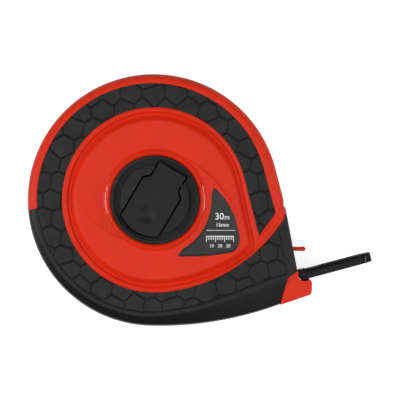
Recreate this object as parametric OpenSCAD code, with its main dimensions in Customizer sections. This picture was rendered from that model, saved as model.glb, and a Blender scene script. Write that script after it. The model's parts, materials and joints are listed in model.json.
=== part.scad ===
// Surveyor's long tape in a closed case with a fold-out winding crank.
// It lies on its back: the reel axis is +Z, the tape leaves the case towards +X.

/* [Case] */
// Radius of the round back of the case
case_r = 75; // [74:0.5:76]
// Thickness of the case between its two grip faces
case_t = 34; // [33:0.5:34]
// Thickness of the rubber grips
grip_t = 1.5; // [1:0.1:1.8]
// Radius of the red disc inside the grip
disc_r = 54.8; // [54:0.2:55.2]
// Radius of the raised plateau around the crank
plateau_r = 46.6; // [45:0.2:47.5]

/* [Tape] */
// Width of the tape
tape_w = 15; // [13:1:15]
// Thickness of the tape
tape_t = 0.4; // [0.3:0.05:0.5]
// Radius of the wound tape
coil_r = 66.1; // [64:0.1:66.3]
// Radius of the drum that the tape is wound on
drum_r = 23.5; // [23:0.1:24]
// Angle at which the tape leaves the case
tape_a = 16.95; // [16.8:0.05:17.1]

/* [Pull ring] */
// Length of the ring from its pin to its tip
ring_l = 41.4; // [36:0.2:42]
// Width of the ring
ring_w = 22; // [21:0.5:23]
// Thickness of the ring
ring_t = 5.6; // [4.2:0.1:5.8]
// Angle of the ring as it rests on the mouth piece
ring_a = 15; // [14.5:0.5:15.5]
// Radius of the ring's pin
ring_pin_r = 1; // [0.8:0.1:1.1]

/* [Crank] */
// Radius of the crank disc
hub_r = 26.2; // [26:0.1:26.3]
// Angle of the crank lever, from +X
lever_a = 59.4; // [0:0.1:90]
// Thickness of the crank lever
lever_t = 4.4; // [4:0.1:4.6]
// Distance of the lever's hinge from the reel axis
hinge_s = 15.5; // [15:0.1:15.8]
// Distance of the knob's axle from the reel axis
knob_s = 10; // [9:0.1:10.4]
// Radius of the winding knob
knob_r = 7.5; // [6.5:0.1:7.6]
// Length of the winding knob
knob_l = 12.3; // [10:0.1:12.5]

/* [Hidden] */

$fn = 96;
CUT = 0.5;              // overlap of a cutting tool past the face that it cuts
RED = [0.84, 0.19, 0.10];
BLACK = [0.13, 0.13, 0.14];
DARK = [0.24, 0.25, 0.26];
STEEL = [0.72, 0.73, 0.75];
WHITE = [0.90, 0.90, 0.86];
YELLOW = [0.95, 0.80, 0.15];

// Case outline, seen from the front
mid_z = case_t / 2;                  // parting plane of the shells, middle of the tape
case_c = [-1, 0];
belly_r = 206;                       // long arc under the case
belly_a0 = 268.5;
belly_a1 = 290.4;
belly_c = case_c - (belly_r - case_r) * [cos(belly_a0), sin(belly_a0)];
back_a0 = 15.2;                      // where the round back leaves the front edge
mouth_corner = [84.6, -41.8];        // lower end of the front edge
mouth_seam = [[78.3, -47.2], [79.3, -45.6]];
finger_notch = [[77.6, -4.8], [76.5, -3.2], [76.4, 0.2]];

// Red disc with its tail, which runs out to the front edge
ridge_c = [-0.3, 0];
ridge_a0 = 13;
tail_a0 = 275;
tail_a1 = 326.3;
tail_r = 95;
tail_c = ridge_c - (tail_r - disc_r) * [cos(tail_a0), sin(tail_a0)];
tip_in = [61.5, -21.1];              // two corners of the grip's pointed end
tip_out = [71.4, -7.7];
band_c = [-1.6, 0.8];                // outer edge of the grip above the rim's colour change
band_r = 68.3;
rim_y = -6.2;                        // below this height the rubber wraps the rim

// Heights above the back plane
back_z = 0.8;                        // shell's back face, behind the grip and the cap
floor_z = 3.2;
roof_z = case_t - 3.2;
plateau_z = case_t + 1;
collar_z = case_t + 2.1;
collar_r = 29.8;
hub_gap = 0.3;

// Reel
chamber_r = 69;
spigot_r = 4.5;
bush_r = 6.5;
run_gap = 0.05;                      // radial clearance of a shaft in its bore
spigot_z = 15.6;
web_z = 13;
cup_floor_z = 15.2;
cup_r = 21.4;
core_wall = 2;
side_gap = 0.3;                      // clearance between the tape's edges and the ribs

// Crank
lever_w = 13.1;                      // half widths of the lever's body and of its neck
neck_w = 9.5;
lever_end = 22.3;
lever_top = 21.4;
lever_gap = 0.4;
lever_z = case_t + 5.8;
hinge_z = case_t + 4.2;
plate_r = 20.2;                      // raised half moons beside the lever
plate_z = case_t + 5.4;
groove_r = 24.4;
groove_z = 33;
hinge_pin_r = 0.8;
axle_r = 2;
axle_head_r = 3.2;                   // head of the knob's axle, moulded into the lever
axle_head_z = lever_z - 1.7;
dimple_h = 1.2;                      // depth of the finger dimple over it

// Tape end
ring_pivot = [88.6, -44.4];
ear_r = 3.4;
ear_gap = 0.3;
knuckle_w = 16;
slot_t = 1.2;
catch_p = [88.2, -29.2];
catch_t = 2.4;
jaw_t = 1.4;                         // top of the clamp's jaw above the tape
rivet_r = 0.6;
rivet_deep = 0.7;                    // depth of the rivets below the tape

screw_spots = concat([for (a = [48, 112, 176, 240]) 69.2 * [cos(a), sin(a)]], [[74.5, -26]]);
screw_r = 1.25;
screw_head_r = 2.25;
boss_r = 2.5;
screw_head_z = 4.6;

tape_y = -coil_r - tape_t / 2 - 0.1; // distance of the straight tape from the reel axis
screw_end_z = 24.4;

function reverse(v) = [for (i = [len(v) - 1:-1:0]) v[i]];
function arc(c, r, a0, a1, n) =
    [for (i = [0:n]) c + r * [cos(a0 + (a1 - a0) * i / n), sin(a0 + (a1 - a0) * i / n)]];
function drop_last(v) = [for (i = [0:len(v) - 2]) v[i]];
// Moves each point of an outline in by w: the two ends level, the others towards the reel axis
function pull_in(pts, w) =
    [for (i = [0:len(pts) - 1])
        i == 0 || i == len(pts) - 1 ? pts[i] - [sign(pts[i].x) * w, 0]
                                    : pts[i] * (1 - w / norm(pts[i]))];

// Outline of the case in two stretches: the bare red rim, then the stretch that rubber wraps
rim_a1 = 180 - asin(rim_y / case_r);
wrap_end = [78.3, -8.4];
rim_outline = concat([wrap_end], finger_notch, arc(case_c, case_r, back_a0, rim_a1, 36));
wrap_outline = concat(
    drop_last(arc(case_c, case_r, rim_a1, belly_a0, 18)),
    arc(belly_c, belly_r, belly_a0, belly_a1, 6),
    mouth_seam, [mouth_corner, wrap_end]);

// Edge of the red disc, out along its tail, and the grip's edge along the red rim
disc_edge = concat(
    drop_last(arc(ridge_c, disc_r, ridge_a0, tail_a0, 48)),
    arc(tail_c, tail_r, tail_a0, tail_a1, 10));
band_edge = concat([tip_out], arc(band_c, band_r, 14, rim_a1, 34));
disc_outline = concat(disc_edge, [[74.3, -8], [73, -5], tip_out, tip_in]);

plateau_outline = concat(
    arc([0, 0], plateau_r, 10, 276, 48), [[30, -39.5], [44, -32.5]],
    arc([48.6, -25.4], 4.6, 300, 380, 5));

// Layers of the case's edge: [height above the parting plane, how far it is pulled in]
edge_steps = [[0, 0], [13, 1.2], [14.4, 2.6], [15.5, 4]];
function skin(k) = grip_t + 0.5 * k;  // the rubber is thicker where the edge leans in
face_h = mid_z - grip_t;             // top of the shell under the rubber

module to_front() {
    translate([0, 0, mid_z]) children();
}

module to_rear() {
    translate([0, 0, mid_z]) mirror([0, 0, 1]) children();
}

module layer(z0, z1, pts) {
    translate([0, 0, z0]) linear_extrude(z1 - z0) polygon(pts);
}

// Rubber of half a case: a skin round the wall and a flat band on the face
module grip_half() {
    for (k = [0:2])
        layer(edge_steps[k].x, edge_steps[k + 1].x,
            concat(pull_in(wrap_outline, edge_steps[k].y),
                reverse(pull_in(wrap_outline, edge_steps[k].y + skin(k)))));
    layer(face_h, mid_z,
        concat([tip_in], band_edge, pull_in(drop_last(wrap_outline), edge_steps[3].y),
            reverse(disc_edge)));
}

// Shell of half a case under the rubber, with the red rim and the red disc
module shell_stack(disc_h) {
    for (k = [0:2])
        layer(edge_steps[k].x, edge_steps[k + 1].x,
            concat(pull_in(rim_outline, edge_steps[k].y),
                pull_in(wrap_outline, edge_steps[k].y + skin(k))));
    layer(face_h, mid_z - 0.6, concat(pull_in(rim_outline, edge_steps[3].y), reverse(band_edge)));
    layer(face_h, disc_h, disc_outline);
}

module at_screws() {
    for (p = screw_spots) translate(p) children();
}

// Straight channel that the tape runs in, from the coil to the mouth
module tape_line(x0, x1, t, w) {
    rotate(tape_a) translate([x0, tape_y - t / 2, mid_z - w / 2]) cube([x1 - x0, t, w]);
}

module catch_slot() {
    translate([76, catch_p.y - catch_t / 2, mid_z - 3]) cube([12, catch_t, 6]);
}

module rib(r, z0, z1) {
    tube(r + 2, r, z0, z1);
}

module at_bosses() {
    for (k = [0:3]) translate(screw_spots[k]) children();
}

module front_shell() {
    color(RED) {
        difference() {
            union() {
                to_front() shell_stack(mid_z + 0.4);
                layer(case_t, plateau_z, plateau_outline);
                cylinder_slice(collar_r, case_t, collar_z);
            }
            cylinder_slice(hub_r + hub_gap, mid_z - CUT, case_t + 10);
            cylinder_slice(chamber_r, mid_z - CUT, roof_z);
            translate([0, 0, plateau_z - 0.5]) linear_extrude(2) label_shape();
            at_screws() cylinder(r = screw_r, h = screw_end_z);
            tape_line(0, 90, 4, tape_w + 2);
            catch_slot();
        }
        rib(57, mid_z + tape_w / 2 + side_gap, roof_z);
        rib(40, mid_z + tape_w / 2 + side_gap, roof_z);
        at_bosses() tube(boss_r, screw_r, mid_z, roof_z);
    }
}

module rear_shell() {
    color(RED) {
        difference() {
            union() {
                to_rear()
                    difference() {
                        shell_stack(mid_z - back_z);
                        cylinder_slice(chamber_r, -CUT, mid_z - floor_z);
                    }
                cylinder_slice(spigot_r, floor_z - CUT, spigot_z);
            }
            cylinder_slice(12, -CUT, 1.6);
            cylinder_slice(1.5, 6, mid_z);
            at_screws() {
                cylinder_slice(boss_r, -CUT, screw_head_z);
                cylinder_slice(screw_r + 0.2, 0, case_t);
            }
            tape_line(0, 90, 4, tape_w + 2);
            catch_slot();
        }
        rib(57, floor_z, mid_z - tape_w / 2 - side_gap);
        rib(40, floor_z, mid_z - tape_w / 2 - side_gap);
        at_bosses() tube(boss_r, screw_r + 0.2, screw_head_z, mid_z);
    }
}

module front_grip() {
    color(BLACK)
    difference() {
        to_front() grip_half();
        catch_slot();
        tape_line(0, 90, 4, tape_w + 2);
    }
}

module rear_grip() {
    color(BLACK)
    difference() {
        to_rear() grip_half();
        catch_slot();
        tape_line(0, 90, 4, tape_w + 2);
        at_screws() cylinder_slice(boss_r, -CUT, screw_head_z);
    }
}

// Red nose below the tape, with the seat of the folded tape end
module mouth_piece() {
    color(RED)
    difference() {
        layer(1.6, case_t - 1.6, concat(
            [belly_c + belly_r * [cos(belly_a1), sin(belly_a1)]],
            [[91.9, -56.2], [92.9, -54.3], [92.9, -48.6], [91.9, -47.2]],
            arc(ring_pivot, ear_r + 0.4, -46, -198, 12),
            [mouth_corner], [mouth_seam[1], mouth_seam[0]]));
        tape_line(60, 92, slot_t, tape_w + 1);
    }
}

module ring_catch() {
    color(RED)
    translate([0, 0, mid_z - 3])
        linear_extrude(6) {
            polygon([[78, catch_p.y + 1.2], [78, catch_p.y - 1.2], [catch_p.x - 1, catch_p.y - 1.2],
                [catch_p.x, catch_p.y - 1.4], [catch_p.x, catch_p.y + 1.4],
                [catch_p.x - 1, catch_p.y + 1.2]]);
            translate(catch_p) circle(r = 1.4);
        }
}

module label_shape() {
    polygon(concat(
        arc([0, 0], 33.8, 5, -60, 12),
        [[14.6, -32.8], [30, -32.6], [44, -30.8], [48, -28.6], [49.6, -24], [48.9, -17.7],
        [46.8, -8.2], [42, 0], [36, 6.6], [34.6, 6.4]]));
}

module label_panel() {
    color(DARK)
    translate([0, 0, plateau_z - 0.5]) linear_extrude(0.6) label_shape();
}

module case_screws() {
    color(STEEL)
    at_screws()
    difference() {
        union() {
            cylinder_slice(screw_head_r, screw_head_z - 2, screw_head_z);
            cylinder_slice(screw_r, screw_head_z - CUT, screw_end_z);
        }
        translate([0, 0, screw_head_z - 2.2]) cylinder(r = 1.2, h = 1.2, $fn = 4);
    }
}

module rear_cap() {
    color(BLACK)
    cylinder(r = 12, h = 1.6);
}

module tube(r, bore, z0, z1) {
    translate([0, 0, z0])
        difference() {
            cylinder(r = r, h = z1 - z0);
            translate([0, 0, -CUT]) cylinder(r = bore, h = z1 - z0 + 2 * CUT);
        }
}

module axle_bush() {
    color(WHITE) tube(bush_r, spigot_r, floor_z, spigot_z);
}

module thrust_washer() {
    color(WHITE) tube(14, bush_r + 0.1, floor_z, floor_z + 0.7);
}

module axle_washer() {
    color(STEEL) tube(8.5, 1.6, spigot_z, spigot_z + 1);
}

module axle_screw() {
    color(STEEL)
    difference() {
        union() {
            translate([0, 0, spigot_z + 1]) cylinder(r = 3.4, h = 2);
            translate([0, 0, 6]) cylinder(r = 1.5, h = spigot_z - 4.5);
        }
        translate([0, 0, spigot_z + 2]) cylinder(r = 1.6, h = 2, $fn = 4);
    }
}

module drum_core() {
    color(DARK)
    difference() {
        union() {
            tube(drum_r, drum_r - core_wall, mid_z - 8, mid_z + 8.2);
            tube(drum_r - 1, bush_r + run_gap, mid_z - 7, web_z);
            tube(10, bush_r + run_gap, floor_z + 0.9, web_z);
        }
        translate([drum_r - 1, 0, 0]) cylinder(r = 0.7, h = case_t);
        at_hub_screws() cylinder(r = 1.1, h = case_t);
    }
}

module tape_coil() {
    color(YELLOW) tube(coil_r, drum_r, mid_z - tape_w / 2, mid_z + tape_w / 2);
}

module tape_anchor() {
    color(STEEL)
    translate([drum_r - 1, 0, mid_z - 8]) cylinder(r = 0.7, h = 16.2);
}

module at_hub_screws() {
    for (a = [lever_a, lever_a + 120, lever_a + 240]) rotate(a) translate([11.5, 0, 0]) children();
}

module hub_screws() {
    color(STEEL)
    at_hub_screws()
    difference() {
        union() {
            translate([0, 0, cup_floor_z]) cylinder(r = 2, h = 1.2);
            translate([0, 0, mid_z - 6.5]) cylinder(r = 1.1, h = cup_floor_z - mid_z + 7);
        }
        translate([0, 0, cup_floor_z + 0.6]) cylinder(r = 0.9, h = 1, $fn = 4);
    }
}

// Outline of the lever along +X, with a gap g all round
module lever_shape(g) {
    end_r = lever_end + g;
    end_a = asin((lever_w + g) / end_r);
    polygon(concat(
        [[lever_top + g, -neck_w - g], [lever_top + g, neck_w + g], [11.3 + g, neck_w + g],
        [8 + g, lever_w + g]],
        arc([0, 0], end_r, 180 - end_a, 180 + end_a, 16),
        [[8 + g, -lever_w - g], [11.3 + g, -neck_w - g]]));
}

module hinge_rod(r, half) {
    translate([hinge_s, -half, hinge_z]) rotate([-90, 0, 0]) cylinder(r = r, h = 2 * half);
}

module crank_hub() {
    color(BLACK)
    rotate(lever_a)
    difference() {
        union() {
            translate([0, 0, web_z]) cylinder(r = cup_r, h = collar_z - web_z);
            translate([0, 0, mid_z + 8.4]) cylinder(r = hub_r, h = collar_z - mid_z - 8.4);
            translate([0, 0, mid_z + 8.4]) cylinder(r = hub_r + 2.8, h = roof_z - mid_z - 8.7);
            cylinder_slice(plate_r, collar_z - CUT, plate_z);
        }
        difference() {
            cylinder_slice(groove_r, groove_z, case_t + 10);
            cylinder_slice(plate_r, groove_z - CUT, case_t + 10);
        }
        translate([0, 0, cup_floor_z])
            linear_extrude(mid_z)
                intersection() {
                    lever_shape(lever_gap);
                    circle(r = cup_r - 1.5);
                }
        translate([0, 0, 28.5]) linear_extrude(mid_z) lever_shape(lever_gap);
        hinge_rod(7, neck_w + lever_gap);
        hinge_rod(hinge_pin_r, 12.6);
        translate([0, 0, web_z - CUT]) cylinder(r = bush_r + run_gap, h = 4);
        rotate(-lever_a) at_hub_screws() cylinder(r = 1.1, h = mid_z);
    }
}

module cylinder_slice(r, z0, z1) {
    translate([0, 0, z0]) cylinder(r = r, h = z1 - z0);
}

module lever_pin() {
    color(STEEL) rotate(lever_a) hinge_rod(hinge_pin_r, 12.6);
}

module crank_lever() {
    color(BLACK)
    rotate(lever_a)
    difference() {
        translate([0, 0, lever_z - lever_t]) linear_extrude(lever_t) lever_shape(0);
        hinge_rod(hinge_pin_r + run_gap, 20);
        translate([-knob_s, 0, 0]) {
            cylinder_slice(axle_r, 0, lever_z - 2);
            cylinder_slice(axle_head_r, axle_head_z - 0.7, axle_head_z);
            translate([0, 0, lever_z - dimple_h]) cylinder(r1 = 2.6, r2 = 6.6, h = 2 * dimple_h);
        }
    }
}

knob_top = lever_z - lever_t - 0.2;
knob_end = knob_top - knob_l;

module knob_axle() {
    color(STEEL)
    rotate(lever_a)
    translate([-knob_s, 0, 0]) {
        cylinder_slice(axle_head_r, axle_head_z - 0.7, axle_head_z);
        cylinder_slice(axle_r, knob_end + 1, axle_head_z - 0.3);
        cylinder_slice(3, knob_end + 1, knob_end + 1.6);
    }
}

module crank_knob() {
    color(BLACK)
    rotate(lever_a)
    translate([-knob_s, 0, 0])
    difference() {
        rotate_extrude()
            polygon([[0, knob_top], [knob_r - 1.2, knob_top], [knob_r - 0.8, knob_top - 2],
                [knob_r - 0.8, knob_end + 3], [knob_r, knob_end + 2], [knob_r, knob_end + 0.8],
                [knob_r - 0.8, knob_end], [0, knob_end]]);
        cylinder(r = axle_r + run_gap, h = case_t + 5);
        translate([0, 0, knob_end - CUT]) cylinder(r = 3.4, h = 2.2 + CUT);
    }
}

module knob_cap() {
    color(DARK)
    rotate(lever_a) translate([-knob_s, 0, knob_end]) cylinder(r = 3.4, h = 0.8);
}

module tape_lead() {
    color(YELLOW)
    difference() {
        tape_line(0.5, ring_x() + 1, tape_t, tape_w);
        at_rivets() cylinder(r = rivet_r, h = 4, center = true);
    }
}

// The ring's pin, along and across the tape's direction
function ring_x() = ring_pivot * [cos(tape_a), sin(tape_a)];
function ring_y() = ring_pivot * [-sin(tape_a), cos(tape_a)];

module at_clamp() {
    rotate(tape_a) translate([ring_x(), ring_y(), mid_z]) children();
}

module end_clamp() {
    lift = tape_y - ring_y();
    color(BLACK)
    difference() {
        at_clamp()
            translate([0, 0, -knuckle_w / 2])
                linear_extrude(knuckle_w) {
                    circle(r = 2.4);
                    polygon([[-3.2, lift - 1.4], [-1, lift - 1.6], [2.2, 0], [2.6, lift + 0.6],
                        [1.4, lift + jaw_t], [-2.4, lift + jaw_t], [-3, lift + 0.8]]);
                }
        tape_line(0, ring_x() + 1, tape_t, tape_w);
        translate([ring_pivot.x, ring_pivot.y, 0]) cylinder(r = ring_pin_r, h = case_t);
        at_rivets() translate([0, 0, -4]) cylinder(r = rivet_r, h = 4 + rivet_deep);
    }
}

module at_rivets() {
    at_clamp()
        for (z = [-4.5, 4.5])
            translate([-1.2, tape_y - ring_y(), z]) rotate([90, 0, 0]) children();
}

module end_rivets() {
    color(STEEL)
    at_rivets() {
        cylinder_slice(1.1, -jaw_t - 0.5, -jaw_t);
        cylinder_slice(rivet_r, -jaw_t - 0.3, rivet_deep);
    }
}

module ring_pin() {
    color(STEEL)
    translate([ring_pivot.x, ring_pivot.y, mid_z - ring_w / 2 + 0.4])
        cylinder(r = ring_pin_r, h = ring_w - 0.8);
}

// Rectangle from x0 to x1, w wide, with round corners of radius r
module round_box(x0, x1, w, r) {
    translate([x0 + r, -w / 2]) square([x1 - x0 - 2 * r, w]);
    translate([x0, -w / 2 + r]) square([x1 - x0, w - 2 * r]);
    for (x = [x0 + r, x1 - r], y = [-w / 2 + r, w / 2 - r]) translate([x, y]) circle(r = r);
}

module pull_ring() {
    arm = 4;
    color(BLACK)
    translate([ring_pivot.x, ring_pivot.y, mid_z])
    rotate(ring_a)
    difference() {
        union() {
            rotate([90, 0, 0])
                linear_extrude(ring_t, center = true)
                    difference() {
                        union() {
                            round_box(0, ring_l, ring_w, 8);
                            translate([0, -ring_w / 2]) square([10, ring_w]);
                        }
                        round_box(10, ring_l - arm, ring_w - 2 * arm, 3);
                    }
            cylinder(r = ear_r, h = ring_w, center = true);
        }
        cylinder(r = 4.4, h = knuckle_w + 2 * ear_gap, center = true);
        translate([-6, -6, -knuckle_w / 2 - ear_gap]) cube([8, 12, knuckle_w + 2 * ear_gap]);
        cylinder(r = ring_pin_r + run_gap, h = ring_w + 2, center = true);
    }
}

front_shell();
rear_shell();
front_grip();
rear_grip();
mouth_piece();
ring_catch();
label_panel();
case_screws();
rear_cap();
axle_bush();
thrust_washer();
axle_washer();
axle_screw();
drum_core();
tape_coil();
tape_anchor();
crank_hub();
hub_screws();
lever_pin();
crank_lever();
knob_axle();
crank_knob();
knob_cap();
tape_lead();
end_clamp();
end_rivets();
ring_pin();
pull_ring();
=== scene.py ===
import json
import math
from types import SimpleNamespace

import bpy
import numpy as np
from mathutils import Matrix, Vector, geometry, kdtree


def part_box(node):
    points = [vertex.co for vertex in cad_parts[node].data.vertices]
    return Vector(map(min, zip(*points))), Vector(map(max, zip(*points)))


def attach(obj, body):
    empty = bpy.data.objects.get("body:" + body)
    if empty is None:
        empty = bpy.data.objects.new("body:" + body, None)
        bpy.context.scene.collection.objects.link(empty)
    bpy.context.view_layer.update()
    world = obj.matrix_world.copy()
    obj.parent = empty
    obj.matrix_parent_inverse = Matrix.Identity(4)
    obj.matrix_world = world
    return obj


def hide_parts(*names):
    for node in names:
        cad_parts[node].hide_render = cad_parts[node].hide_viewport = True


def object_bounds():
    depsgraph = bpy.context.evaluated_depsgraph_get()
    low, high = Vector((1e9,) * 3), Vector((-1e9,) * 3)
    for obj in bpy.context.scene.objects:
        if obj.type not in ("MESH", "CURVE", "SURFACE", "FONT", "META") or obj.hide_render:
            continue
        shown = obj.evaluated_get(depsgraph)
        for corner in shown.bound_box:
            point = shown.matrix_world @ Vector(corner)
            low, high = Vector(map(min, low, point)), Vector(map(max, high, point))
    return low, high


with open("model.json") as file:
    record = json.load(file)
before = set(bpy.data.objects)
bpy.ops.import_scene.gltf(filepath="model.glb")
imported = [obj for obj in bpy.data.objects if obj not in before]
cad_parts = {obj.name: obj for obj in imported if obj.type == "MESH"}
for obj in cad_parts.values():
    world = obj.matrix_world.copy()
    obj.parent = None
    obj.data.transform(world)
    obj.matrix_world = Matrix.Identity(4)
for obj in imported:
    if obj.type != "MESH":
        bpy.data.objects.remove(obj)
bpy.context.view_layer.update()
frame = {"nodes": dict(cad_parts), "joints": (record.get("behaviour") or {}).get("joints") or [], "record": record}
nodes = frame["nodes"]
joints = {j["name"]: j for j in frame["joints"]}

# Outlines and heights are in millimetres in the row frame, and become metres when a mesh is made.
MM = 0.001


def box_mm(node):
    """Lowest and highest corner of a CAD part."""
    lo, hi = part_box(node)
    return np.array(lo) / MM, np.array(hi) / MM


# ---------------------------------------------------------------- sizes from the frame
shell_lo, shell_hi = box_mm("front_shell")
CASE_T = box_mm("front_grip")[1][2]
MID = CASE_T / 2
CASE_R = shell_hi[1]
CASE_C = (shell_lo[0] + CASE_R, 0.0)
ROOF = CASE_T - 3.2  # inner side of the shells over the coil
CHAMBER_R = 69.0
HUB_HOLE = 26.5  # radius of the shell's hole for the crank
COIL_R = box_mm("tape_coil")[1][0]
TAPE_DIR = np.array(joints["tape_pull"]["axis"][:2])
LABEL_TOP = box_mm("label_panel")[1][2]
TAPE_W = 15.0

# Outline of the case, as in the CAD: a round back, a long arc under it and a straight front edge
RIM_Y = -6.2  # where the rubber begins at the back
WRAP_END = (78.3, -8.4)  # where the rubber's edge ends at the front
FINGER_NOTCH = [(77.6, -4.8), (76.5, -3.2), (76.4, 0.2)]
BACK_A0 = 15.2
RIM_A1 = 180 - math.degrees(math.asin(RIM_Y / CASE_R))
BELLY_R, BELLY_A0, BELLY_A1 = 206, 268.5, 290.4
SEAM = [(78.3, -47.2), (79.3, -45.6)]
MOUTH_CORNER = (84.6, -41.8)
MOUTH_FOOT = (91.9, -56.2)
# Red parts of the face: the disc, its tail to the front edge, and the band's inner edge
DISC_C, DISC_R, DISC_A0 = (-0.3, 0.0), 54.8, 13
TAIL_R, TAIL_A0, TAIL_A1 = 95, 275, 328.6
TIP_IN, TIP_OUT = (61.5, -21.1), (71.4, -7.7)
BAND_C, BAND_R, BAND_A0 = (-1.6, 0.8), 68.3, 14
# The plateau: a circle, a flatter arc below it and a small round nose
PLATEAU_R, PLATEAU_A0, PLATEAU_A1 = 46.6, 12.3, 276
BELOW_R, BELOW_A1 = 99, 304.9
NOSE_C, NOSE_R = (48.6, -25.4), 4.6
CREASES = [((9.3, 38.2), 67.9, 213, 257, 0.9),  # centre, radius, first and last angle, height
           ((-13.2, -34.3), 66.9, 14, 67, 0.8)]
STEP = 0.8  # spacing of the points along an outline
ROW = 0.866  # distance between the rows of a triangular grid, as a share of its pitch


def unit(a):
    """Direction at an angle in degrees."""
    return np.array((math.cos(math.radians(a)), math.sin(math.radians(a))))


def inner_centre(centre, radius, big, a):
    """Centre of a bigger circle that runs on smoothly from a circle at angle a."""
    return tuple(np.array(centre) - (big - radius) * unit(a))


BELLY_C = inner_centre(CASE_C, CASE_R, BELLY_R, BELLY_A0)
TAIL_C = inner_centre(DISC_C, DISC_R, TAIL_R, TAIL_A0)

# ---------------------------------------------------------------- lines
# A line is a list of points (x, y) and arcs (centre, radius, start angle, end angle).


def ends(item):
    """Where an item of a line starts and ends."""
    if len(item) == 2:
        return np.array(item, float), np.array(item, float)
    c, r, a0, a1 = item
    return c + r * unit(a0), c + r * unit(a1)


def trace(line, step=STEP):
    """Points along a line, no further apart than step."""
    points = []
    for item in line:
        if len(item) == 4:
            c, r, a0, a1 = item
            n = max(2, math.ceil(abs(math.radians(a1 - a0)) * r / step))
            new = [c + r * unit(a) for a in np.linspace(a0, a1, n + 1)]
        else:
            new = [np.array(item, float)]
        if points:
            run = np.linalg.norm(new[0] - points[-1])
            n = max(1, math.ceil(run / step))
            if run < 0.02:
                new = new[1:]
            points += [points[-1] * (1 - k / n) + ends(item)[0] * k / n for k in range(1, n)]
        points += new
    return np.array(points)


def gap(p, line):
    """Distance of each point in p from a line."""
    best, last = np.full(len(p), 1e9), None
    for item in line:
        first, end = ends(item)
        if last is not None:
            d = first - last
            t = np.clip((p - last) @ d / max(d @ d, 1e-9), 0, 1)
            best = np.minimum(best, np.linalg.norm(p - last - t[:, None] * d, axis=1))
        if len(item) == 4:
            c, r, a0, a1 = item
            v = p - np.array(c)
            lo, span = min(a0, a1), abs(a1 - a0)
            turn = (np.degrees(np.arctan2(v[:, 1], v[:, 0])) - lo) % 360
            near_end = np.minimum(*(np.linalg.norm(p - q, axis=1) for q in (first, end)))
            off = np.where(turn <= span, np.abs(np.linalg.norm(v, axis=1) - r), near_end)
            best = np.minimum(best, off)
        last = end
    return best


def within(p, line, centre=(0, 0)):
    """True for the points inside a closed line that is star-shaped about centre."""
    q = trace(line, 0.5) - centre
    a = np.arctan2(q[:, 1], q[:, 0])
    order = np.argsort(a)
    v = p - np.array(centre)
    reach = np.interp(np.arctan2(v[:, 1], v[:, 0]), a[order],
                      np.hypot(q[:, 0], q[:, 1])[order], period=2 * math.pi)
    return np.hypot(v[:, 0], v[:, 1]) < reach


def ease(x, *knots):
    """Smooth curve through (x, value) knots, level at each knot and flat beyond the last."""
    xs, vs = np.array(knots, float).T
    x = np.clip(x, xs[0], xs[-1])
    i = np.clip(np.searchsorted(xs, x, side="right") - 1, 0, len(xs) - 2)
    t = (x - xs[i]) / (xs[i + 1] - xs[i])
    return vs[i] + (vs[i + 1] - vs[i]) * t * t * (3 - 2 * t)


def ridge(x, centre, half):
    """A bump 1 high at centre that dies away over half on each side."""
    return np.exp(-(((x - centre) / half) ** 2))


# The bare red edge of the case, the edge that rubber wraps, the straight front edge, the joint of
# rubber and mouth piece, and the line on the face where rubber and red shell meet
RIM_LINE = [WRAP_END, *FINGER_NOTCH, (CASE_C, CASE_R, BACK_A0, RIM_A1)]
WRAP_LINE = [(CASE_C, CASE_R, RIM_A1, BELLY_A0), (BELLY_C, BELLY_R, BELLY_A0, BELLY_A1)]
FRONT_LINE = [MOUTH_CORNER, WRAP_END]
SEAM_LINE = [tuple(ends(WRAP_LINE[-1])[1]), *SEAM, MOUTH_CORNER]
TAIL_ARC = (TAIL_C, TAIL_R, TAIL_A0, TAIL_A1)
DISC_LINE = [TIP_IN, (DISC_C, DISC_R, DISC_A0, TAIL_A0), TAIL_ARC]
SKIN_EDGE = [(BAND_C, BAND_R, RIM_A1, BAND_A0), TIP_OUT, *DISC_LINE, WRAP_END]
BELOW_C = inner_centre((0, 0), PLATEAU_R, BELOW_R, PLATEAU_A1)
PLATEAU = [((0, 0), PLATEAU_R, PLATEAU_A0, PLATEAU_A1), (BELOW_C, BELOW_R, PLATEAU_A1, BELOW_A1),
           (NOSE_C, NOSE_R, BELOW_A1, 360 + PLATEAU_A0), tuple(PLATEAU_R * unit(PLATEAU_A0))]
LABEL_CURVE = [(34.6, 6.4), (36.0, 6.6), (42.0, 0.0), (46.8, -8.2), (48.9, -17.7), (49.6, -24.0),
               (48.0, -28.6), (44.0, -30.8), (30.0, -32.6), (15.2, -32.9), (14.7, -32.0)]
LABEL_MID = (38, -19)


def through(points, per=6):
    """Points on a smooth curve through the given ones."""
    p = [np.array(q, float) for q in [points[0], *points, points[-1]]]
    out = []
    for a, b, c, d in zip(p, p[1:], p[2:], p[3:]):
        for t in np.arange(per) / per:
            out.append(0.5 * (2 * b + (c - a) * t + (2 * a - 5 * b + 4 * c - d) * t * t
                              + (3 * b - a - 3 * c + d) * t ** 3))
    return [tuple(q) for q in out + [p[-1]]]


LABEL_LINE = [((0, 0), 33.8, 5, -60), *through(LABEL_CURVE)[::-1]]
LABEL_LINE.append(tuple(ends(LABEL_LINE[0])[0]))

# ---------------------------------------------------------------- meshes


def chain(line, exposed):
    """Points along a line and, where it is an outer edge, the direction into the piece."""
    p = trace(line)
    t = np.gradient(p, axis=0)
    t /= np.linalg.norm(t, axis=1)[:, None]
    n = np.column_stack((-t[:, 1], t[:, 0])) * exposed
    if not exposed:  # it starts clear of the pulled-in ends of its neighbours
        clear = np.minimum(*(np.linalg.norm(p - q, axis=1) for q in (p[0], p[-1]))) > 1.2
        p, n = p[clear], n[clear]
    return p, n


def join(*chains):
    """One closed outline from chains that follow each other."""
    return np.vstack([c[0] for c in chains]), np.vstack([c[1] for c in chains])


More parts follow.
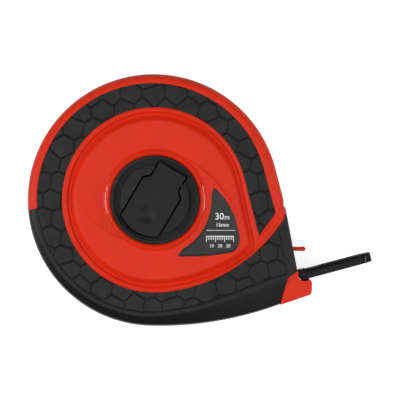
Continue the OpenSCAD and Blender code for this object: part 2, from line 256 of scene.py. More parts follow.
def ring_loop(centre, radius):
    """A round hole's edge, clockwise, with nothing to pull in."""
    p = trace([(centre, radius, 360, 0)])[:-1]
    return p, np.zeros_like(p)


def inside(p, loop):
    """True for the points within a closed loop, by counting the edges on one side."""
    odd = np.zeros(len(p), bool)
    for a, b in zip(loop, np.roll(loop, -1, axis=0)):
        if a[1] != b[1]:
            x = a[0] + (p[:, 1] - a[1]) / (b[1] - a[1]) * (b[0] - a[0])
            odd ^= ((a[1] > p[:, 1]) != (b[1] > p[:, 1])) & (p[:, 0] < x)
    return odd


def fill(loops, coarse, fine=None, near=None):
    """Points over the region that the loops enclose, the loops' own first, and its triangles.
    The points inside are coarse apart, or fine apart where near says so."""
    edge = np.vstack(loops)
    links, at = [], 0
    for loop in loops:
        k = len(loop)
        links += [(at + i, at + (i + 1) % k) for i in range(k)]
        at += k
    a, b = edge[[i for i, _ in links]], edge[[j for _, j in links]]
    tree = kdtree.KDTree(len(edge))
    for i, q in enumerate(edge):
        tree.insert((q[0], q[1], 0), i)
    tree.balance()
    inner = []
    for size in (coarse, fine) if fine else (coarse,):
        lo, hi = edge.min(0), edge.max(0)
        for row, y in enumerate(np.arange(lo[1], hi[1], size * ROW)):
            cut = (a[:, 1] > y) != (b[:, 1] > y)
            s, e = a[cut], b[cut]
            xs = np.sort(s[:, 0] + (y - s[:, 1]) / (e[:, 1] - s[:, 1]) * (e[:, 0] - s[:, 0]))
            x = np.arange(lo[0] + (row % 2) * size / 2, hi[0], size)
            x = x[np.searchsorted(xs, x) % 2 == 1]
            q = np.column_stack((x, np.full(len(x), y)))
            if near and len(q):
                q = q[near(q) == (size == fine)]
            inner += [r for r in q if tree.find((r[0], r[1], 0))[2] > 0.55 * size]
    points = np.vstack([edge, np.array(inner).reshape(-1, 2)])
    made = geometry.delaunay_2d_cdt([Vector(q) for q in points], links, [], 2, 1e-6)
    crossings = [tuple(v) for v, o in zip(made[0], made[3]) if not o]
    if crossings:
        raise ValueError(f"outline crosses itself near {crossings[:6]}")
    origin = [o[0] for o in made[3]]
    tris = np.array([[origin[v] for v in f] for f in made[2]])
    for hole in loops[1:]:
        tris = tris[~inside(points[tris].mean(axis=1), hole)]
    p, q, r = points[tris[:, 0]], points[tris[:, 1]], points[tris[:, 2]]
    turn = (q - p)[:, 0] * (r - p)[:, 1] - (q - p)[:, 1] * (r - p)[:, 0]
    tris[turn < 0] = tris[turn < 0][:, ::-1]
    return points, tris


# How far the outer wall leans in at each share of its height, from the top row to the foot
WALL = [(0.9, 1.0), (0.35, 0.8), (0.08, 0.56), (0.0, 0.3), (0.0, 0.05), (0.22, 0.0)]


def make(name, points, faces, body, slot, stands_for=(), normals=None, smooth=True, polish_and_shade=None):
    """A piece from points in millimetres, on its body, with its material slot."""
    mesh = bpy.data.meshes.new(name)
    mesh.from_pydata((np.asarray(points) * MM).tolist(), [], [list(f) for f in faces])
    mesh.polygons.foreach_set("use_smooth", [smooth] * len(mesh.polygons))
    # Mask for a smoother finish and, on the grip, for painted shade (a darker colour).
    if polish_and_shade is not None:
        mesh.attributes.new("polish_and_shade", "FLOAT", "POINT").data.foreach_set("value", polish_and_shade)
    mesh.update()
    piece = bpy.data.objects.new(name, mesh)
    bpy.context.scene.collection.objects.link(piece)
    mesh.materials.append(MATERIALS[slot])
    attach(piece, body)
    if stands_for:
        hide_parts(*stands_for)
    if normals is not None:
        mesh.normals_split_custom_set(normals.tolist())
    return piece


def slopes(top, p, d=0.04):
    """Upward normals of a height function."""
    dx = top(p + (d, 0)) - top(p - (d, 0))
    dy = top(p + (0, d)) - top(p - (0, d))
    n = np.column_stack((-dx, -dy, np.full(len(p), 2 * d)))
    return n / np.linalg.norm(n, axis=1)[:, None]


def relief(name, body, slot, loops, top, under, fine, near, rows=WALL, flip=False, coarse=1.3,
           polish_and_shade=None, edge_polish_and_shade=0.0):
    """A closed piece whose face follows the height top(p) and whose underside follows under(p).
    With flip it is made for the back of the case instead of the front."""
    edges = [[p + n * inset for p, n in loops] for inset, _ in rows]
    face, face_tris = fill(edges[0], coarse, fine, near)
    foot, foot_tris = fill(edges[-1], 5)
    count = sum(len(p) for p, _ in loops)
    low = under(np.vstack([p for p, _ in loops]))
    high = top(face[:count])
    points = [np.column_stack((face, top(face)))]
    starts, at = [0], len(face)
    for (_, share), edge in list(zip(rows, edges))[1:-1]:
        points.append(np.column_stack((np.vstack(edge), low + (high - low) * share)))
        starts.append(at)
        at += count
    starts.append(at)
    foot_z = np.concatenate((low, under(foot[count:])))
    points.append(np.column_stack((foot, foot_z)))
    wall = []
    for up, down in zip(starts, starts[1:]):
        first = 0
        for p, _ in loops:
            k = len(p)
            i = np.arange(k) + first
            j = np.roll(i, -1)
            wall.append(np.column_stack((down + i, down + j, up + j, up + i)))
            first += k
    points = np.vstack(points)
    quads = np.vstack(wall)
    faces = [face_tris, quads, (foot_tris + at)[:, ::-1]]
    up = slopes(top, face)
    if flip:
        points[:, 2] = 2 * MID - points[:, 2]
        up[:, 2] *= -1
        faces = [f[:, ::-1] for f in faces]
    corner = up[faces[0].ravel()]
    rest = np.zeros((faces[1].size + faces[2].size, 3))
    # Mask for a smoother finish: on the face from the given function, on the walls and foot one fixed value. On
    # the grip it also sets painted shade, a darker colour.
    smooth_and_shade = None
    if polish_and_shade:
        smooth_and_shade = np.concatenate((polish_and_shade(face), np.full(len(points) - len(face), edge_polish_and_shade)))
    return make(name + "_body", points, [*faces[0], *faces[1], *faces[2]], body, slot, (name,),
                np.vstack((corner, rest)), polish_and_shade=smooth_and_shade)


# ---------------------------------------------------------------- materials
MATERIALS = {}


def shader(name):
    """A new material, with short ways to add nodes to it and to link them."""
    mat = bpy.data.materials.new(name)
    mat.use_nodes = True
    tree = mat.node_tree
    bsdf = tree.nodes["Principled BSDF"]
    coord = tree.nodes.new("ShaderNodeTexCoord")

    def add(kind, **values):
        node = tree.nodes.new("ShaderNode" + kind)
        for key, value in values.items():
            if hasattr(node, key):
                setattr(node, key, value)
            else:
                node.inputs[key].default_value = value
        return node

    def link(source, target):
        tree.links.new(source, target)

    def noise(scale, detail):
        node = add("TexNoise", Scale=scale, Detail=detail)
        link(coord.outputs["Object"], node.inputs["Vector"])
        return node.outputs["Fac"]

    def spread(value, low, high, start=0.3, end=0.7):
        node = add("MapRange")
        link(value, node.inputs["Value"])
        for key, v in (("From Min", start), ("From Max", end), ("To Min", low), ("To Max", high)):
            node.inputs[key].default_value = v
        return node.outputs["Result"]

    return SimpleNamespace(mat=mat, bsdf=bsdf, coord=coord, add=add, link=link, noise=noise,
                           spread=spread)


def moulded(slot, colour, worn, rough, grain=(2600, 0.05), shift=0.12, coat=0.0, metal=0.0,
            gloss=0.5):
    """Moulded or plated surface: mottled colour, lighter worn edges, uneven gloss and fine grain.
    grain is (scale per metre, bump strength), worn the colour of rubbed edges, shift how far the
    colour varies and gloss the specular level."""
    kit = shader(slot)
    bsdf, add, link, noise, spread = kit.bsdf, kit.add, kit.link, kit.noise, kit.spread
    mottle = add("MixRGB", blend_type="MIX")
    mottle.inputs["Color1"].default_value = (*[c * (1 - shift) for c in colour], 1)
    mottle.inputs["Color2"].default_value = (*[min(1, c * (1 + shift)) for c in colour], 1)
    link(spread(noise(45, 5), 0, 1), mottle.inputs["Fac"])
    edges = add("NewGeometry")
    rub = add("MixRGB", blend_type="MIX")
    link(mottle.outputs["Color"], rub.inputs["Color1"])
    rub.inputs["Color2"].default_value = (*worn, 1)
    chips = add("Math", operation="MULTIPLY")
    link(spread(edges.outputs["Pointiness"], 0, 0.7, 0.53, 0.62), chips.inputs[0])
    link(spread(noise(350, 6), 0.15, 1), chips.inputs[1])
    link(chips.outputs["Value"], rub.inputs["Fac"])
    link(rub.outputs["Color"], bsdf.inputs["Base Color"])
    link(spread(noise(130, 6), rough * 0.85, rough * 1.18), bsdf.inputs["Roughness"])
    bump = add("Bump", Strength=grain[1], Distance=0.0003)
    link(noise(grain[0], 2), bump.inputs["Height"])
    waves = add("Bump", Strength=0.06, Distance=0.0006)
    link(noise(60, 2), waves.inputs["Height"])
    link(bump.outputs["Normal"], waves.inputs["Normal"])
    link(waves.outputs["Normal"], bsdf.inputs["Normal"])
    bsdf.inputs["Metallic"].default_value = metal
    bsdf.inputs["Coat Weight"].default_value = coat
    bsdf.inputs["Coat Roughness"].default_value = 0.08
    bsdf.inputs["Specular IOR Level"].default_value = gloss
    kit.mat.diffuse_color = (*colour, 1)
    MATERIALS[slot] = kit.mat
    return kit


RED = moulded("case_red", (0.61, 0.021, 0.0035), (0.61, 0.03, 0.010), 0.4, (2400, 0.05), 0.05,
              gloss=0.16)
RUBBER = moulded("grip_rubber", (0.0075, 0.0081, 0.0083), (0.016, 0.016, 0.016), 0.5,
                 (5200, 0.35), 0.2, gloss=0.24)
moulded("label_black", (0.018, 0.019, 0.019), (0.03, 0.03, 0.03), 0.5, (4200, 0.2), 0.1, gloss=0.3)
moulded("black_plastic", (0.0042, 0.0045, 0.0048), (0.010, 0.010, 0.010), 0.42, (3600, 0.18), 0.2,
        gloss=0.2)
moulded("ring_black", (0.0022, 0.0022, 0.0026), (0.006, 0.006, 0.006), 0.17, (1500, 0.04), 0.1,
        gloss=0.12)
moulded("black_steel", (0.012, 0.012, 0.013), (0.05, 0.05, 0.05), 0.22, (900, 0.1), 0.1, metal=0.6)
moulded("steel", (0.60, 0.61, 0.63), (0.75, 0.75, 0.76), 0.28, (900, 0.12), 0.1, metal=1.0)
moulded("white_plastic", (0.74, 0.74, 0.69), (0.8, 0.8, 0.75), 0.4, (3000, 0.1), 0.04)
moulded("drum_grey", (0.07, 0.073, 0.076), (0.12, 0.12, 0.12), 0.42, (3000, 0.15), 0.12)
moulded("print_white", (0.66, 0.67, 0.65), (0.6, 0.6, 0.6), 0.5, (5000, 0.1), 0.08)


def polished_and_shaded(kit, rough, colour=None):
    """Where a piece's smoothness-and-shade mask is 1 the surface is smoother and, if a colour is given, takes that
    colour as painted shade.
    """
    bsdf, add, link = kit.bsdf, kit.add, kit.link
    band = add("Attribute", attribute_name="polish_and_shade")
    values = [("Roughness", (rough, rough, rough, 1))]
    # A given colour is painted shade: it darkens the masked surface.
    if colour:
        values.append(("Base Color", (*colour, 1)))
    for socket, value in values:
        mix = add("MixRGB", blend_type="MIX")
        link(band.outputs["Fac"], mix.inputs["Fac"])
        link(bsdf.inputs[socket].links[0].from_socket, mix.inputs["Color1"])
        mix.inputs["Color2"].default_value = value
        link(mix.outputs["Color"], bsdf.inputs[socket])


# On the rubber's smooth bevel and walls: lower roughness, and a darker colour that is painted shade.
polished_and_shaded(RUBBER, 0.24, (0.0030, 0.0032, 0.0035))
polished_and_shaded(RED, 0.11)


def tape_print():
    """Yellow coated tape with short black marks at each 2 mm, longer ones at each centimetre and a
    red line at each ten centimetres."""
    kit = moulded("tape_yellow", (0.80, 0.56, 0.03), (0.82, 0.62, 0.15), 0.36, (2600, 0.2), 0.06,
                  coat=0.15)
    bsdf, add, link = kit.bsdf, kit.add, kit.link
    base = bsdf.inputs["Base Color"].links[0].from_socket
    split = add("SeparateXYZ")
    link(kit.coord.outputs["Object"], split.inputs["Vector"])

    def math_node(op, a, b):
        node = add("Math", operation=op)
        for socket, value in zip(node.inputs, (a, b)):
            if isinstance(value, (int, float)):
                socket.default_value = value
            else:
                link(value, socket)
        return node.outputs["Value"]

    along = math_node("ADD", math_node("MULTIPLY", split.outputs["X"], float(TAPE_DIR[0])),
                      math_node("MULTIPLY", split.outputs["Y"], float(TAPE_DIR[1])))

    def marks(pitch, width, reach):
        """1 on marks of that pitch and width that reach up from the tape's lower edge."""
        phase = math_node("PINGPONG", along, pitch / 2)
        line = math_node("LESS_THAN", phase, width / 2)
        low = math_node("LESS_THAN", split.outputs["Z"], (MID - TAPE_W / 2 + reach) * MM)
        return math_node("MULTIPLY", line, low)

    black, red = (0.02, 0.02, 0.02, 1), (0.6, 0.02, 0.01, 1)
    for mask, colour in ((marks(0.002, 0.0003, 3.0), black), (marks(0.010, 0.0006, 7.0), black),
                         (marks(0.100, 0.0010, TAPE_W), red)):
        mix = add("MixRGB", blend_type="MIX")
        link(mask, mix.inputs["Fac"])
        link(base, mix.inputs["Color1"])
        mix.inputs["Color2"].default_value = colour
        base = mix.outputs["Color"]
    link(base, bsdf.inputs["Base Color"])


tape_print()

# ---------------------------------------------------------------- case faces
OUTER_EXPOSED = [*WRAP_LINE, MOUTH_FOOT]
RIM_ZONE = 8  # width of the strip along the outline that the rounded edge can reach
COLLAR_R = 30.6  # foot of the collar round the crank
GROOVE_W = 6.2  # from the plateau's edge to the far side of the groove round it


def edge_round(w, reach=5.0):
    """Height above the parting plane of the rounded outer edge, w in from the outline."""
    w = np.clip(w / reach, 0, 1)
    return MID * (1 - (1 - w) ** 2) ** 0.25


def soft_min(a, b, k=0.2):
    """The lower of two heights, with the corner between them rounded."""
    return -k * np.log(np.exp(-a / k) + np.exp(-b / k))


def rounded_rim(p, z):
    """The height z, brought down to the rounded edge along the bare rim."""
    w = gap(p, RIM_LINE)
    return np.where(w < RIM_ZONE, soft_min(z - MID, edge_round(w)) + MID, z)


def under(p):
    """Underside of the shells: the parting plane, or the roof over the coil and the tape."""
    along, across = p @ TAPE_DIR, p @ np.array((-TAPE_DIR[1], TAPE_DIR[0]))
    hollow = np.hypot(p[:, 0], p[:, 1]) < CHAMBER_R
    hollow |= (along > 0) & (np.abs(across + COIL_R + 0.3) < 2)
    return np.where(hollow, ROOF, MID)


def plateau_gap(p):
    """Distance from the edge of the plateau, negative on the plateau."""
    return gap(p, PLATEAU) * np.where(within(p, PLATEAU), -1, 1)


def swirl(p, centre, radius, a0, a1, high):
    """A crease that winds out from the collar: one side stands a little proud of the other."""
    v = p - np.array(centre)
    q = radius - np.linalg.norm(v, axis=1)
    t = (np.degrees(np.arctan2(v[:, 1], v[:, 0])) % 360 - a0) / (a1 - a0)
    fade = ease(t, (-0.02, 0), (0.25, 1)) * ease(t, (0.5, 1), (1.05, 0.1))
    return high * fade * ease(q, (-0.7, 0), (0.7, 1)) * np.exp(-np.maximum(q, 0) / 9)


def shell_face(p):
    """Height of the red front: collar, dished plateau, groove, lip, tail and rim."""
    r = np.hypot(p[:, 0], p[:, 1])
    u = plateau_gap(p)
    z = ease(u, (0, CASE_T + 1.0), (4.2, CASE_T - 2.2), (GROOVE_W, CASE_T - 0.15))
    dish = CASE_T + 0.75 + 0.25 * np.clip((r - 30) / 16, 0, 1) ** 2
    for crease in CREASES:
        dish = dish + swirl(p, *crease)
    z = np.where(u < 0, np.minimum(dish, CASE_T + 1.75), z)
    z = np.where(r < COLLAR_R, ease(r, (26.4, CASE_T + 1.1), (28.0, CASE_T + 2.05),
                                    (COLLAR_R, CASE_T + 0.78)), z)
    inside_label = gap(p, LABEL_LINE) * np.where(within(p, LABEL_LINE, LABEL_MID), 1, -1)
    z = z - ease(inside_label, (-0.25, 0), (0.1, 0.6))
    t = gap(p, [TAIL_ARC])
    turn = np.degrees(np.arctan2(p[:, 1] - TAIL_C[1], p[:, 0] - TAIL_C[0])) % 360
    lines = ease(turn, (284, 0), (300, 1)) * (turn < 335) * (u > 5)
    z = z - lines * 0.35 * (ridge(t, 2.0, 0.4) + ridge(t, 4.3, 0.45))
    z = z + ease(gap(p, SKIN_EDGE), (0, -0.5), (0.8, 0.4), (1.9, 0))
    return rounded_rim(p, z)


def fine_shell(p):
    """True where the front shell needs small triangles."""
    r = np.hypot(p[:, 0], p[:, 1])
    near_crease = np.zeros(len(p), bool)
    for centre, radius, *_ in CREASES:
        near_crease |= np.abs(np.linalg.norm(p - np.array(centre), axis=1) - radius) < 1.2
    return ((r < COLLAR_R + 0.9) | (np.abs(plateau_gap(p) - 2.5) < 5) | (gap(p, SKIN_EDGE) < 2.4)
            | (gap(p, LABEL_LINE) < 1) | (near_crease & (r < 60)))


def collar_polish(p):
    """1 on the glossy collar round the crank, 0 on the rest of the shell."""
    return ease(np.hypot(p[:, 0], p[:, 1]), (30.2, 1), (31.4, 0))


RED_LOOPS = [join(chain(RIM_LINE, 1),
                  chain([tuple(ends(RIM_LINE[-1])[1]), *SKIN_EDGE], 0)),
             ring_loop((0, 0), HUB_HOLE)]
relief("front_shell", "case", "case_red", RED_LOOPS, shell_face, under, 0.55, fine_shell,
       polish_and_shade=collar_polish)

# Grip: irregular cells with grooves between them
CELL = 12.2  # mean distance between the middles of two cells
JITTER, TABLE = 0.2, 64
jitter = np.random.RandomState(7).uniform(-JITTER, JITTER, (TABLE, TABLE, 2))
BORDER_LOW, BORDER_FRONT = 2.2, 6.5  # from the bevel and from the front edge to the border groove


def cell_gap(p):
    """Distance of each point from the nearest groove between two cells."""
    j = np.round(p[:, 1] / (CELL * ROW)).astype(int)
    found = []
    for dj in (-2, -1, 0, 1, 2):
        row = j + dj
        i = np.round(p[:, 0] / CELL - 0.5 * (row % 2)).astype(int)
        for di in (-2, -1, 0, 1, 2):
            col = i + di
            seed = np.column_stack(((col + 0.5 * (row % 2)) * CELL, row * CELL * ROW))
            found.append(seed + jitter[col % TABLE, row % TABLE] * CELL)
    seeds = np.stack(found)
    d = np.linalg.norm(seeds - p, axis=2)
    order = np.argsort(d, axis=0)[:2]
    i = np.arange(len(p))
    near, far = seeds[order[0], i], seeds[order[1], i]
    apart = np.maximum(np.linalg.norm(far - near, axis=1), 1e-6)
    return (d[order[1], i] ** 2 - d[order[0], i] ** 2) / (2 * apart)


def bevel_width(p):
    """Width of the smooth bevel along the outer edge: it grows towards the mouth."""
    a = np.degrees(np.arctan2(p[:, 1], p[:, 0])) % 360
    return np.interp(a, (180, 215, 240, 270, 290, 306, 320),
                     (4.0, 4.9, 5.6, 6.3, 8.8, 12.0, 14.0))


def groove_gap(p):
    """Distance from the nearest groove, whether a point is in the field of cells, and how far the
    field's edge is."""
    low = gap(p, OUTER_EXPOSED) - bevel_width(p) - BORDER_LOW
    front = gap(p, FRONT_LINE) - BORDER_FRONT
    border = np.minimum(low, front)
    return np.minimum(cell_gap(p), np.abs(border)), border > 0, np.abs(border)


def grip_face(p):
    """Height of the rubber: cells, smooth border and outer bevel."""
    g, field, edge = groove_gap(p)
    z = np.where(field, CASE_T - 0.06 - ease(g, (0, 0.85), (0.75, 0.12), (2.2, 0)),
                 CASE_T - 0.2 - ease(edge, (0, 0.46), (0.6, 0)))
    z = z - ease(gap(p, SKIN_EDGE), (0, 0.3), (0.5, 0))
    w = gap(p, OUTER_EXPOSED)
    low = edge_round(w)
    slope = MID - 3.6 + 3.4 * w / bevel_width(p)
    z = soft_min(z - MID, soft_min(slope, low)) + MID
    front = np.where(p[:, 0] > 60, edge_round(gap(p, FRONT_LINE), 2.6), MID)
    return soft_min(z - MID, front + 0.1) + MID - 0.02


def fine_grip(p):
    """True where the rubber needs small triangles."""
    g, field, edge = groove_gap(p)
    w = gap(p, OUTER_EXPOSED)
    return (field & (g < 0.95)) | (edge < 0.9) | (w < 2.4) | (np.abs(w - bevel_width(p)) < 0.7)


def grip_polish_and_shade(p):
    """1 on the smooth outer bevel, 0 on the field of cells; the bevel is smoother and darkened with painted shade.
    """
    return ease(gap(p, OUTER_EXPOSED) - bevel_width(p), (-0.3, 1), (0.3, 0))


TAIL_BACK = (TAIL_C, TAIL_R, TAIL_A1, TAIL_A0)
GRIP_LOOPS = [join(chain(WRAP_LINE, 1), chain(SEAM_LINE, 0), chain(FRONT_LINE, 1),
                   chain([WRAP_END, TAIL_BACK, (DISC_C, DISC_R, TAIL_A0, DISC_A0), TIP_IN, TIP_OUT,
                          (BAND_C, BAND_R, BAND_A0, RIM_A1), tuple(ends(WRAP_LINE[0])[0])], 0))]
# The rubber's bevel and walls are smoother and darkened with painted shade.
relief("front_grip", "case", "grip_rubber", GRIP_LOOPS, grip_face, under, 0.36, fine_grip,
       polish_and_shade=grip_polish_and_shade, edge_polish_and_shade=1.0)


def rear_screws():
    """Middle of each screw head, from the CAD solids of the screws."""
    found = []
    co = np.array([v.co for v in nodes["case_screws"].data.vertices]) / MM
    heads = co[co[:, 2] < co[:, 2].min() + 0.01][:, :2]
    while len(heads):
        near = np.linalg.norm(heads - heads[0], axis=1) < 6
        lo, hi = heads[near].min(0), heads[near].max(0)
        found.append((lo + hi) / 2)
        heads = heads[~near]
    return found


SCREWS = rear_screws()
HEAD_H = 2 * MID - box_mm("case_screws")[0][2]  # top of the screw heads, with the back upwards
CAP_R = box_mm("rear_cap")[1][0]
BAND_GROOVE_R, CAP_GROOVE_R = 51, 17  # grooves in the rear face
RIB_IN, RIB_OUT, RIB_PITCH = 20, 45, 4.5  # fine ribs between them
BORE_ZONE = 3.4  # radius of the small triangles round a counterbore


def screw_gap(p):
    """Distance of each point from the middle of the nearest screw."""
    return np.min([np.linalg.norm(p - s, axis=1) for s in SCREWS], axis=0)


def bored(p, z):
    """A face of the rear half with its screw counterbores."""
    seat = HEAD_H - 2.1
    deep = ease(screw_gap(p), (2.4, 1), (2.75, 0))
    return z * (1 - deep) + np.minimum(z, seat) * deep


def rear_face(p):
    """Height of the red back, as if it lay on its face: grooves, ribs, cap seat and rim."""
    r = np.hypot(p[:, 0], p[:, 1])
    z = (CASE_T - 0.8 - ease(np.abs(r - BAND_GROOVE_R), (0, 0.9), (2.0, 0))
         - ease(np.abs(r - CAP_GROOVE_R), (0, 0.5), (0.8, 0)))
    rib = np.abs(r - 7 * RIB_PITCH) % RIB_PITCH
    z = z - 0.35 * ridge(rib, 0, 0.35) * ((r > RIB_IN) & (r < RIB_OUT))
    z = z - ease(r, (CAP_R + 0.15, 0.85), (CAP_R + 0.45, 0))
    z = z + ease(gap(p, SKIN_EDGE), (0, -0.2), (0.8, 0.4), (1.9, 0))
    return bored(p, rounded_rim(p, z))


def fine_rear(p):
    """True where the rear shell needs small triangles."""
    r = np.hypot(p[:, 0], p[:, 1])
    return ((screw_gap(p) < BORE_ZONE) | (np.abs(r - CAP_R) < 1) | (np.abs(r - BAND_GROOVE_R) < 2.6)
            | (np.abs(r - CAP_GROOVE_R) < 1.2) | (gap(p, SKIN_EDGE) < 2.2)
            | ((r > RIB_IN) & (r < RIB_OUT)))


relief("rear_shell", "case", "case_red", RED_LOOPS[:1], rear_face, under, 0.6, fine_rear, flip=True,
       polish_and_shade=lambda p: np.zeros(len(p)))
# The rubber's bevel and walls are smoother and darkened with painted shade.
relief("rear_grip", "case", "grip_rubber", GRIP_LOOPS, lambda p: bored(p, grip_face(p)), under,
       0.36, lambda p: fine_grip(p) | (screw_gap(p) < BORE_ZONE), flip=True, polish_and_shade=grip_polish_and_shade,
       edge_polish_and_shade=1.0)


def label():
    """Dark inlay with a small bevelled edge."""
    line = trace(LABEL_LINE, 0.6)
    t = np.gradient(line, axis=0)
    n = np.column_stack((t[:, 1], -t[:, 0])) / np.linalg.norm(t, axis=1)[:, None]
    keep = np.linalg.norm(line - np.roll(line, -1, axis=0), axis=1) > 0.05
    loops = [(line[keep][::-1], n[keep][::-1])]
    top = LABEL_TOP - 0.06
    rows = [(0.45, 1.0), (0.3, 0.75), (0.25, 0.0)]
    relief("label_panel", "case", "label_black", loops, lambda p: np.full(len(p), top),
           lambda p: np.full(len(p), top - 0.5), None, None, rows=rows, coarse=2.5)


label()


def figure(name, text, size, x, y, bold=0.0, spacing=1.0):
    """Raised print on the label."""
    curve = bpy.data.curves.new(name, "FONT")
    curve.body, curve.size, curve.extrude = text, size * MM, 0.02 * MM
    curve.offset = bold * MM
    curve.align_x, curve.space_character = "CENTER", spacing
    source = bpy.data.objects.new(name + "_curve", curve)
    bpy.context.scene.collection.objects.link(source)
    bpy.context.view_layer.update()
    mesh = bpy.data.meshes.new_from_object(source.evaluated_get(
        bpy.context.evaluated_depsgraph_get()))
    bpy.data.objects.remove(source)
    piece = bpy.data.objects.new(name, mesh)
    bpy.context.scene.collection.objects.link(piece)
    for v in mesh.vertices:
        v.co += Vector((x * MM, y * MM, (LABEL_TOP - 0.04) * MM))
    mesh.materials.clear()
    mesh.materials.append(MATERIALS["print_white"])
    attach(piece, "case")


# Text, size, place of its middle, boldness and letter spacing
figure("print_length", "30", 5.45, 38.1, -11.5, 0.07)
figure("print_metre", "m", 4.2, 42.6, -11.5, 0.04)
figure("print_width", "15mm", 3.0, 39.8, -15.7, 0.05, 1.05)
figure("print_scale", "10   20   30", 2.7, 38.4, -28.0, 0.03)


def graduation():
    """A dividing line, and under it a plain ruler motif: a base line with short and long marks."""
    points, faces = [], []

    def bar(x0, x1, y0, y1):
        z0, z1 = LABEL_TOP - 0.06, LABEL_TOP - 0.02
        at = len(points)
        points.extend((x, y, z) for z in (z0, z1) for x, y in
                      ((x0, y0), (x1, y0), (x1, y1), (x0, y1)))
        faces.extend([[at + i for i in f] for f in
                      ((3, 2, 1, 0), (4, 5, 6, 7), (0, 1, 5, 4), (1, 2, 6, 5), (2, 3, 7, 6),
                       (3, 0, 4, 7))])

    bar(30.5, 47.4, -18.15, -17.85)
    first, pitch, half, foot = 30.4, 1.07, 0.2, -21.7
    short, long = -23.6, -24.9
    bar(30.2, 46.6, foot, -21.2)
    for k in range(16):
        x = first + k * pitch
        bar(x - half, x + half, long if k % 5 == 0 else short, foot)
    make("print_marks", points, faces, "case", "print_white", smooth=False)


graduation()

# ---------------------------------------------------------------- crank lever
lever_lo, lever_hi = box_mm("crank_lever")
HINGE = np.array(joints["lever_fold"]["pos_m"]) / MM
KNOB_AXIS = np.array(joints["knob_spin"]["pos_m"][:2]) / MM
LEVER_A = math.degrees(math.atan2(HINGE[1], HINGE[0]))
# Along the lever from the reel axis, and half its width at the broad end and at the neck
LEVER_END, LEVER_TOP, LEVER_W, NECK_W = 22.3, 21.4, 13.1, 9.5
SHOULDER = (8, 11.3)
DIMPLE_R, DIMPLE_DEEP = 6.8, 1.2
END_A = math.degrees(math.asin(LEVER_W / LEVER_END))


def turned(points):
    """Points of the lever's own frame, with the lever along +X, in the row frame."""
    c, s = unit(LEVER_A)
    return np.asarray(points) @ np.array(((c, s), (-s, c)))


def rounded(corners, r, step=0.5):
    """A closed outline, counter-clockwise, with its corners rounded, and its inward normals."""
    out = []
    n = len(corners)
    for k in range(n):
        a, b, c = (np.array(corners[(k + d) % n], float) for d in (-1, 0, 1))
        u, v = (a - b) / np.linalg.norm(a - b), (c - b) / np.linalg.norm(c - b)
        cut = min(r, 0.45 * np.linalg.norm(a - b), 0.45 * np.linalg.norm(c - b))
        for t in np.linspace(0, 1, 5):
            out.append(b + u * cut * (1 - t) ** 2 + v * cut * t * t)
    out = np.array(out)
    dense = []
    for a, b in zip(out, np.roll(out, -1, axis=0)):
        k = max(1, math.ceil(np.linalg.norm(b - a) / step))
        dense += [a + (b - a) * i / k for i in range(k)]
    p = np.array(dense)
    t = np.roll(p, -1, axis=0) - np.roll(p, 1, axis=0)
    t /= np.linalg.norm(t, axis=1)[:, None]
    return p, np.column_stack((-t[:, 1], t[:, 0]))


def lever():
    """Flat lever with rounded edges and a finger dimple over the knob's axle."""
    arc = [tuple(LEVER_END * unit(a)) for a in np.linspace(180 - END_A, 180 + END_A, 13)]
    corners = [(LEVER_TOP, -NECK_W), (LEVER_TOP, NECK_W), (SHOULDER[1], NECK_W),
               (SHOULDER[0], LEVER_W), *arc, (SHOULDER[0], -LEVER_W), (SHOULDER[1], -NECK_W)]
    p, n = rounded(corners, 1.1)
    loops = [(turned(p), turned(n))]

    def top(q):
        r = np.linalg.norm(q - KNOB_AXIS, axis=1)
        return lever_hi[2] - ease(r, (0, DIMPLE_DEEP), (DIMPLE_R, 0))

    relief("crank_lever", "lever", "black_plastic", loops, top,
           lambda q: np.full(len(q), lever_lo[2]), 0.45,
           lambda q: np.linalg.norm(q - KNOB_AXIS, axis=1) < DIMPLE_R + 0.7,
           rows=[(0.85, 1.0), (0.56, 0.96), (0.43, 0.86), (0.43, 0.1), (0.65, 0.0)])


lever()

# ---------------------------------------------------------------- CAD parts kept as they are


def soften(node, slot, width):
    """Keeps a CAD part and rounds its edges by width, in millimetres."""
    part = nodes[node]
    part.data.materials.clear()
    part.data.materials.append(MATERIALS[slot])
    part.data.polygons.foreach_set("use_smooth", [True] * len(part.data.polygons))
    weld = part.modifiers.new("weld", "WELD")
    weld.merge_threshold = 1e-6
    if width:
        flat = part.modifiers.new("flat", "DECIMATE")
        flat.decimate_type, flat.angle_limit = "DISSOLVE", math.radians(0.6)
        edge = part.modifiers.new("edge", "BEVEL")
        edge.width, edge.segments = width * MM, 3
        edge.limit_method, edge.angle_limit = "ANGLE", math.radians(38)
        edge.harden_normals = True
        edge.use_clamp_overlap = True


SLOT = {s["node"]: s["material_slot"] for s in frame["record"]["subparts"]}
EDGE = {"crank_hub": 0.3, "pull_ring": 1.0, "mouth_piece": 0.5, "ring_catch": 0.5,
        "end_clamp": 0.3, "crank_knob": 0.4, "case_screws": 0.2, "rear_cap": 0.4, "tape_lead": 0,
        "tape_coil": 0.1, "ring_pin": 0.2, "knob_cap": 0.2}
SMALL_EDGE = 0.15
SLOT["ring_pin"] = SLOT["lever_pin"] = "black_steel"
REPLACED = {"front_shell", "rear_shell", "front_grip", "rear_grip", "label_panel", "crank_lever"}
for name in nodes:
    if name not in REPLACED:
        soften(name, SLOT[name], EDGE.get(name, SMALL_EDGE))

# ---------------------------------------------------------------- studio
lo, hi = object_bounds()
centre = (lo + hi) / 2


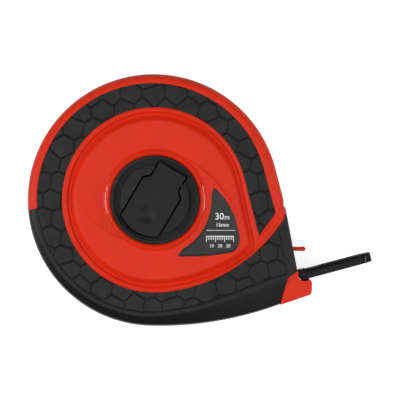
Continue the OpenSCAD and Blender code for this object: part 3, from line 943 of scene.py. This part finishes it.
def floor():
    """Pale floor under the object, bright enough to read as white paper."""
    mesh = bpy.data.meshes.new("floor")
    half, z = 2.0, lo.z - 0.0002
    mesh.from_pydata([(-half, -half, z), (half, -half, z), (half, half, z), (-half, half, z)], [],
                     [(0, 1, 2, 3)])
    plane = bpy.data.objects.new("floor", mesh)
    bpy.context.scene.collection.objects.link(plane)
    mat = bpy.data.materials.new("floor")
    mat.use_nodes = True
    bsdf = mat.node_tree.nodes["Principled BSDF"]
    bsdf.inputs["Base Color"].default_value = (0.5, 0.5, 0.5, 1)
    bsdf.inputs["Roughness"].default_value = 0.9
    bsdf.inputs["Emission Color"].default_value = (1, 1, 1, 1)
    seen = mat.node_tree.nodes.new("ShaderNodeLightPath")
    glow = mat.node_tree.nodes.new("ShaderNodeMath")
    glow.operation = "MULTIPLY"
    glow.inputs[1].default_value = 0.74
    mat.node_tree.links.new(seen.outputs["Is Camera Ray"], glow.inputs[0])
    mat.node_tree.links.new(glow.outputs["Value"], bsdf.inputs["Emission Strength"])
    mesh.materials.append(mat)


def softbox(name, place, target, size, power):
    """A large soft light that looks at target."""
    light = bpy.data.lights.new(name, "AREA")
    light.shape, light.size, light.size_y, light.energy = "RECTANGLE", size[0], size[1], power
    lamp = bpy.data.objects.new(name, light)
    bpy.context.scene.collection.objects.link(lamp)
    lamp.location = place
    lamp.rotation_euler = (Vector(target) - Vector(place)).to_track_quat("-Z", "Y").to_euler()


floor()
softbox("over_left", (-0.47, -0.12, 0.9), centre, (0.7, 0.8), 4.3)
softbox("over_right", (0.45, -0.05, 0.9), centre, (0.6, 0.7), 2.3)
softbox("strip_left", (-0.8, 0.0, 0.3), centre, (0.45, 0.12), 2.2)
softbox("strip_right", (0.85, 0.03, 0.3), centre, (0.45, 0.12), 2.2)


def studio_world():
    """White room, brighter overhead than at the horizon; plain white where the camera sees it."""
    world = bpy.data.worlds.new("studio")
    world.use_nodes = True
    tree = world.node_tree
    back = tree.nodes["Background"]
    back.inputs["Color"].default_value = (1, 1, 1, 1)
    coord, split, lift, seen, pick = (tree.nodes.new("ShaderNode" + kind) for kind in (
        "TexCoord", "SeparateXYZ", "MapRange", "LightPath", "Mix"))
    for key, v in (("From Min", 0), ("From Max", 1), ("To Min", 0.14), ("To Max", 0.58)):
        lift.inputs[key].default_value = v
    pick.inputs["B"].default_value = 1
    for source, target in ((coord.outputs["Generated"], split.inputs["Vector"]),
                           (split.outputs["Z"], lift.inputs["Value"]),
                           (seen.outputs["Is Camera Ray"], pick.inputs["Factor"]),
                           (lift.outputs["Result"], pick.inputs["A"]),
                           (pick.outputs["Result"], back.inputs["Strength"])):
        tree.links.new(source, target)
    bpy.context.scene.world = world


studio_world()
bpy.context.scene.view_settings.view_transform = "Standard"

# Straight above, so far off and with such a lens that the object fills 343 of 400 parts across
CAMERA_H, SENSOR, MARGIN = 1.5, 36, 400 / 343
camera = bpy.data.cameras.new("camera")
camera.sensor_width = SENSOR
camera.lens = SENSOR * (CAMERA_H - MID * MM) / ((hi.x - lo.x) * MARGIN)
camera.clip_start = 0.01
shot = bpy.data.objects.new("camera", camera)
bpy.context.scene.collection.objects.link(shot)
shot.location = (centre.x, centre.y, CAMERA_H)
bpy.context.scene.camera = shot
